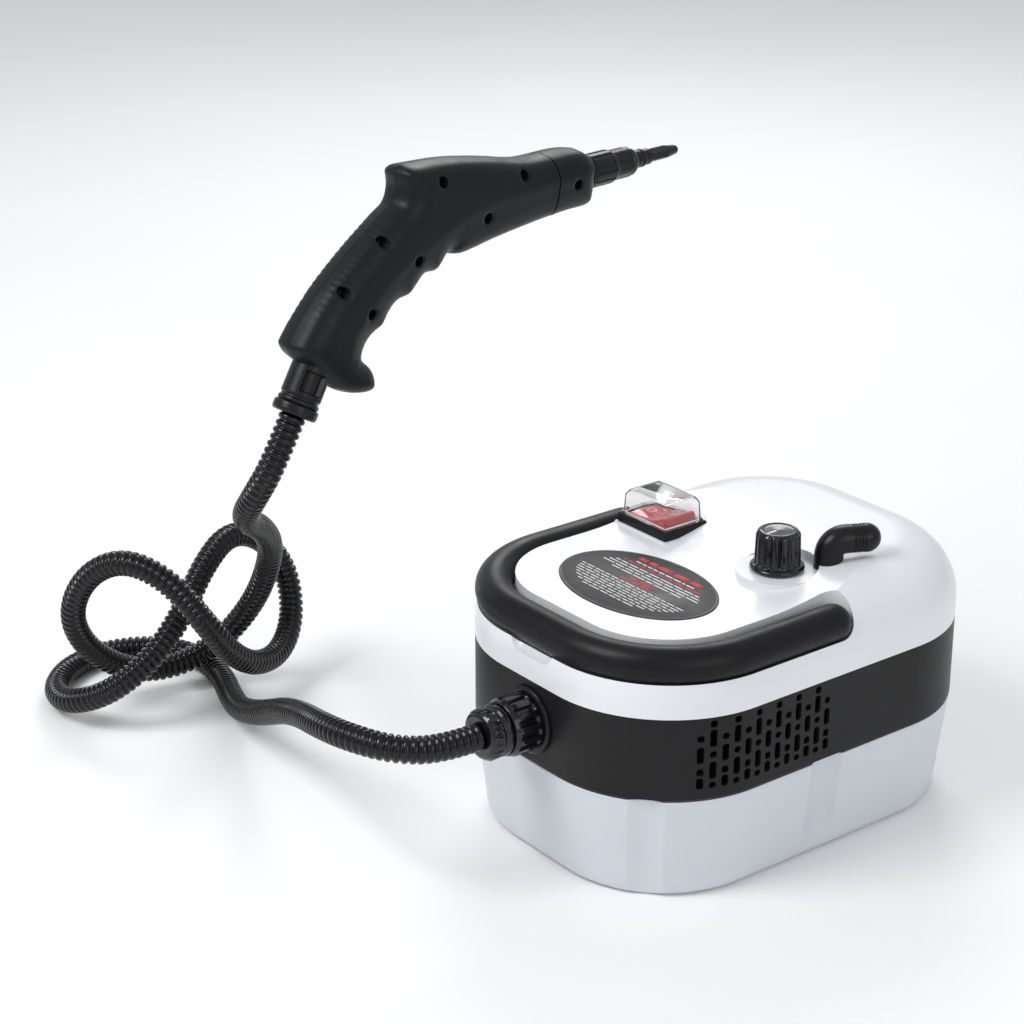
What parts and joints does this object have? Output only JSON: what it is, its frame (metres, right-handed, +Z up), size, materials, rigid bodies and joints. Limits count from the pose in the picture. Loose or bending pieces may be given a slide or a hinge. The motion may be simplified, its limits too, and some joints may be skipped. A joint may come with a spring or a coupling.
{
  "type": "steam cleaner",
  "caption": "Small countertop steam cleaner: lift-off water tank, ventilated housing, fold-down carry handle, steam knob, covered rocker switch, hose and steam gun.",
  "frame": {"origin": "centre of the tank's flat underside", "axes": "+Z up; the hose outlet faces -X, the rocker switch is on the +Y side"},
  "size_m": [0.4119, 0.4855, 0.3724],
  "materials": {
    "white_shell": "smooth semi-gloss moulded plastic",
    "black_housing": "satin moulded plastic",
    "handle_black": "satin moulded plastic",
    "label_print": "printed foil label",
    "knob_black": "glossy moulded plastic",
    "switch_black": "moulded plastic",
    "rocker_red": "glossy translucent red plastic",
    "clear_boot": "clear soft vinyl",
    "hose_black": "glossy corrugated hose",
    "gun_black": "moulded plastic, satin",
    "brass": "machined brass",
    "steel": "steel",
    "aluminium": "cast aluminium",
    "seal_rubber": "soft rubber",
    "board_green": "circuit board",
    "clear_tube": "silicone tube"
  },
  "bodies": {
    "tank_base": {"tank": "white_shell", "tank_seal": "seal_rubber"},
    "handle": {"carry_handle": "handle_black"},
    "rocker": {"switch_rocker": "rocker_red"},
    "knob": {"steam_knob": "knob_black", "valve_stem": "steel"},
    "gun": {"gun_shell_near": "gun_black", "gun_shell_far": "gun_black", "gun_front_collar": "gun_black", "gun_screws": "steel", "gun_swivel_fitting": "brass", "nozzle_base": "gun_black", "nozzle_ring": "knob_black", "nozzle_neck": "gun_black", "nozzle_tip": "gun_black", "gun_inner_pipe": "steel"},
    "unit": {"chassis_plate": "black_housing", "housing_band": "black_housing", "top_cover": "white_shell", "cover_screws": "steel", "label_plate": "label_print", "handle_pivot_pins": "steel", "valve_block": "brass", "switch_bezel": "switch_black", "switch_body": "switch_black", "switch_boot": "clear_boot", "cord_gland": "switch_black", "outlet_flange": "knob_black", "coupling_nut": "knob_black", "coupling_collar": "knob_black", "steam_hose": "hose_black", "hose_cuff": "gun_black", "cuff_collar": "gun_black", "boiler_block": "aluminium", "heating_element": "steel", "boiler_cover": "aluminium", "boiler_brackets": "steel", "relief_valve": "brass", "thermostat": "steel", "thermal_fuse": "steel", "pump_body": "steel", "pump_mounts": "seal_rubber", "suction_tube": "clear_tube", "tank_filter": "switch_black", "feed_tube": "clear_tube", "steam_pipe": "steel", "outlet_pipe": "steel", "control_board": "board_green"}
  },
  "joints": [
    {"name": "unit_lift", "type": "slide", "parent": "tank_base", "child": "unit", "axis": [0, 0, 1], "range_m": [0, 0.08]},
    {"name": "handle_fold", "type": "hinge", "parent": "unit", "child": "handle", "pos_m": [0.003, 0, 0.1415], "axis": [0, 1, 0], "range_deg": [0, 90]},
    {"name": "rocker_tip", "type": "hinge", "parent": "unit", "child": "rocker", "pos_m": [0.0035, 0.055, 0.1565], "axis": [1, 0, 0], "range_deg": [0, 18]},
    {"name": "knob_turn", "type": "hinge", "parent": "unit", "child": "knob", "pos_m": [0.009, -0.039, 0.1555], "axis": [0, 0, -1], "range_deg": [0, 270]},
    {"name": "gun_swivel", "type": "hinge", "parent": "unit", "child": "gun", "pos_m": [-0.1774, 0.1473, 0.2745], "axis": [0.5112, 0.0628, 0.8572], "range_deg": [-90, 90]}
  ]
}
